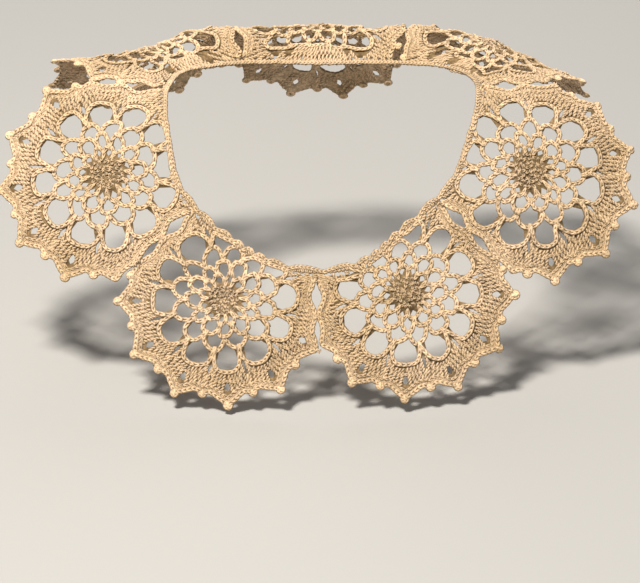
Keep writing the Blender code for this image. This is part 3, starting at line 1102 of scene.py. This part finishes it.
seeds = {"plan": 5, "stitches": 11, "edging": {"front": 31, "back": 32}}
grounds, neckArches = [], []
for index, motif in enumerate(motifs):
    edge, atSeam, atNeck, joins = motifEdge(index)
    laid, faces, area, size = groundMesh(motif, edge, atNeck)
    ground = makeWall("laceGround_" + motif["side"], laid, faces, groundSizes["thickness"])
    neckArches += archTurns(motif, edge, atNeck)
    stitchEdge = np.where(atNeck, edge + edgePlan["underEdging"], edge)
    chance = np.random.default_rng(seeds["plan"] + index)
    plan = planMotif(motif, stitchEdge, atSeam, atNeck, joins, chance)
    stitches = crochet("laceStitches_" + motif["side"], plan, lambda p, m=motif: layFlat(m, p),
                       edgePlan["height"], seeds["stitches"] + index)
    for piece in (ground, stitches):
        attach(piece, "root")
    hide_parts("motif_" + motif["side"])
    grounds.append((ground, stitches, area, size))
    print("motif", motif["side"], "stitches", len(np.concatenate(plan["kind"])),
          "faces", len(stitches.data.polygons), "area cm2", round(area * 1e4, 1))

# The narrow edging along the neck
edgingSizes = {
    "inner": 1.7,
    "outer": 4.0,
    "backDepth": 0.4,
    "scallopDepth": 2.4,
    "scallopTo": 75.0,  # degrees from the front
    "scallopOver": 25.0,
    "chainWidth": 1.2,
    "chainLift": 0.3,
    "footLean": 0.3,
    "footLift": -0.3,
    "height": 1.4,
    "spacing": 2.4,
    "measuredAt": 2.5,
    "bandReach": (2.2, 3.6),
    "bandHeight": 0.9,
    "bandThickness": 0.8,
    "segments": 90,
}


def onNeck(points):
    # points given as (turn in degrees, mm out from the neck edge)
    turn, out = points[:, 0], points[:, 1]
    along, outward = directions(turn, out)
    return onFigure(turn, out), unit(np.cross(outward, along))


def neckTurns(first, last, samples=400):
    # turns that are equally far apart along the neck edge
    turns = np.linspace(first, last, samples)
    length = lengthAlong(onFigure(turns, np.full(samples, edgingSizes["measuredAt"])))
    count = int(round(length[-1] / edgingSizes["spacing"]))
    return np.interp(np.linspace(0, length[-1], count + 1), length, turns)


def makeEdging(side, first, last):
    sizes = edgingSizes
    turns = neckTurns(first, last)
    plan = newPlan()
    arches = np.sort(np.concatenate([np.array(neckArches) + lap for lap in (-360, 0, 360)]))
    scallop = np.abs(np.cos(np.interp(turns, arches, np.arange(len(arches))) * math.pi))
    front = smoothStep((sizes["scallopTo"] - np.abs(turns)) / sizes["scallopOver"])
    deep = sizes["backDepth"] + sizes["scallopDepth"] * front
    inner = np.stack([turns, sizes["inner"] + deep * (0.5 - scallop)], 1)
    addStitches(plan, "chain", inner[:-1], inner[1:], sizes["chainWidth"], sizes["chainLift"])
    middle = (inner[:-1] + inner[1:]) / 2
    lean = (inner[1:, 0] - inner[:-1, 0]) * sizes["footLean"]
    foot = np.stack([middle[:, 0] + lean, np.full(len(lean), sizes["outer"])], 1)
    addStitches(plan, "short", foot, middle, 1.0, sizes["footLift"])
    stitches = crochet("neckEdging_" + side, plan, onNeck, sizes["height"], seeds["edging"][side])
    count = sizes["segments"]
    turns = np.linspace(first, last, count)
    lines = [onNeck(np.stack([turns, np.full(count, out)], 1)) for out in sizes["bandReach"]]
    laid = np.concatenate([point + normal * sizes["bandHeight"] for point, normal in lines])
    faces = [(i, i + count, i + count + 1, i + 1) for i in range(count - 1)]
    band = makeWall("neckBand_" + side, laid, faces, sizes["bandThickness"])
    for piece in (stitches, band):
        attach(piece, "root")
    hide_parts("neck_edging_" + side)
    return [stitches, band]


edging = makeEdging("front", -90.1, 90.1) + makeEdging("back", 90.1, 269.9)
print("neck edging ready")

for model in list(stitchModels.objects):
    bpy.data.objects.remove(model)
bpy.data.collections.remove(stitchModels)

# Camera at the photograph's angle, pale floor and soft studio light
studio = {
    "elevation": 27.0,
    "distance": 2.5,
    "aim": (0.0012, -0.0608, -0.1009),
    "frameWidth": 0.384,
    "sensorWidth": 36.0,
    "floorHalf": 12.0,
    "floorBelow": 0.004,
    "floorColour": (0.4, 0.39, 0.375, 1),
    "floorRoughness": 0.9,
    "lightAim": (0, 0, -0.06),
    "worldColour": (0.86, 0.88, 0.9, 1),
    "worldStrength": 0.17,
}
cameraData = bpy.data.cameras.new("photoCamera")
cameraData.sensor_width = studio["sensorWidth"]
cameraData.lens = studio["sensorWidth"] * studio["distance"] / studio["frameWidth"]
cameraData.clip_start, cameraData.clip_end = 0.05, 60.0
camera = addObject("photoCamera", cameraData)
lift = math.radians(studio["elevation"])
back = Vector((0, -math.cos(lift), math.sin(lift)))
camera.location = Vector(studio["aim"]) + back * studio["distance"]
camera.rotation_euler = (-back).to_track_quat("-Z", "Y").to_euler()
bpy.context.scene.camera = camera
bpy.context.scene.view_settings.view_transform = "Standard"

half, level = studio["floorHalf"], cadLow.z - studio["floorBelow"]
floorMesh = bpy.data.meshes.new("studioFloor")
floorMesh.from_pydata([(-half, -half, level), (half, -half, level), (half, half, level),
                       (-half, half, level)], [], [(0, 1, 2, 3)])
studioFloor = addObject("studioFloor", floorMesh)
paleFloor = bpy.data.materials.new("paleFloor")
paleFloor.use_nodes = True
feed(paleFloor.node_tree, paleFloor.node_tree.nodes["Principled BSDF"],
     {"Base Color": studio["floorColour"], "Roughness": studio["floorRoughness"]})
floorMesh.materials.append(paleFloor)

# name, place, size, power in watts, colour
lights = (
    ("keyLight", (-0.55, -0.7, 1.8), 0.35, 75.0, (1.0, 0.96, 0.89)),
    ("fillLight", (1.1, -1.6, 0.3), 1.2, 6.0, (0.95, 0.97, 1.0)),
    ("backLight", (0.2, 1.2, 1.0), 1.0, 7.5, (1.0, 0.97, 0.93)),
)
for name, place, size, power, colour in lights:
    lamp = bpy.data.lights.new(name, "AREA")
    lamp.size, lamp.energy, lamp.color = size, power, colour
    holder = addObject(name, lamp)
    holder.location = place
    toAim = Vector(studio["lightAim"]) - Vector(place)
    holder.rotation_euler = toAim.to_track_quat("-Z", "Y").to_euler()
world = bpy.data.worlds.new("studioWorld")
bpy.context.scene.world = world
world.use_nodes = True
feed(world.node_tree, world.node_tree.nodes["Background"],
     {"Color": studio["worldColour"], "Strength": studio["worldStrength"]})
print("camera, floor and lights ready")
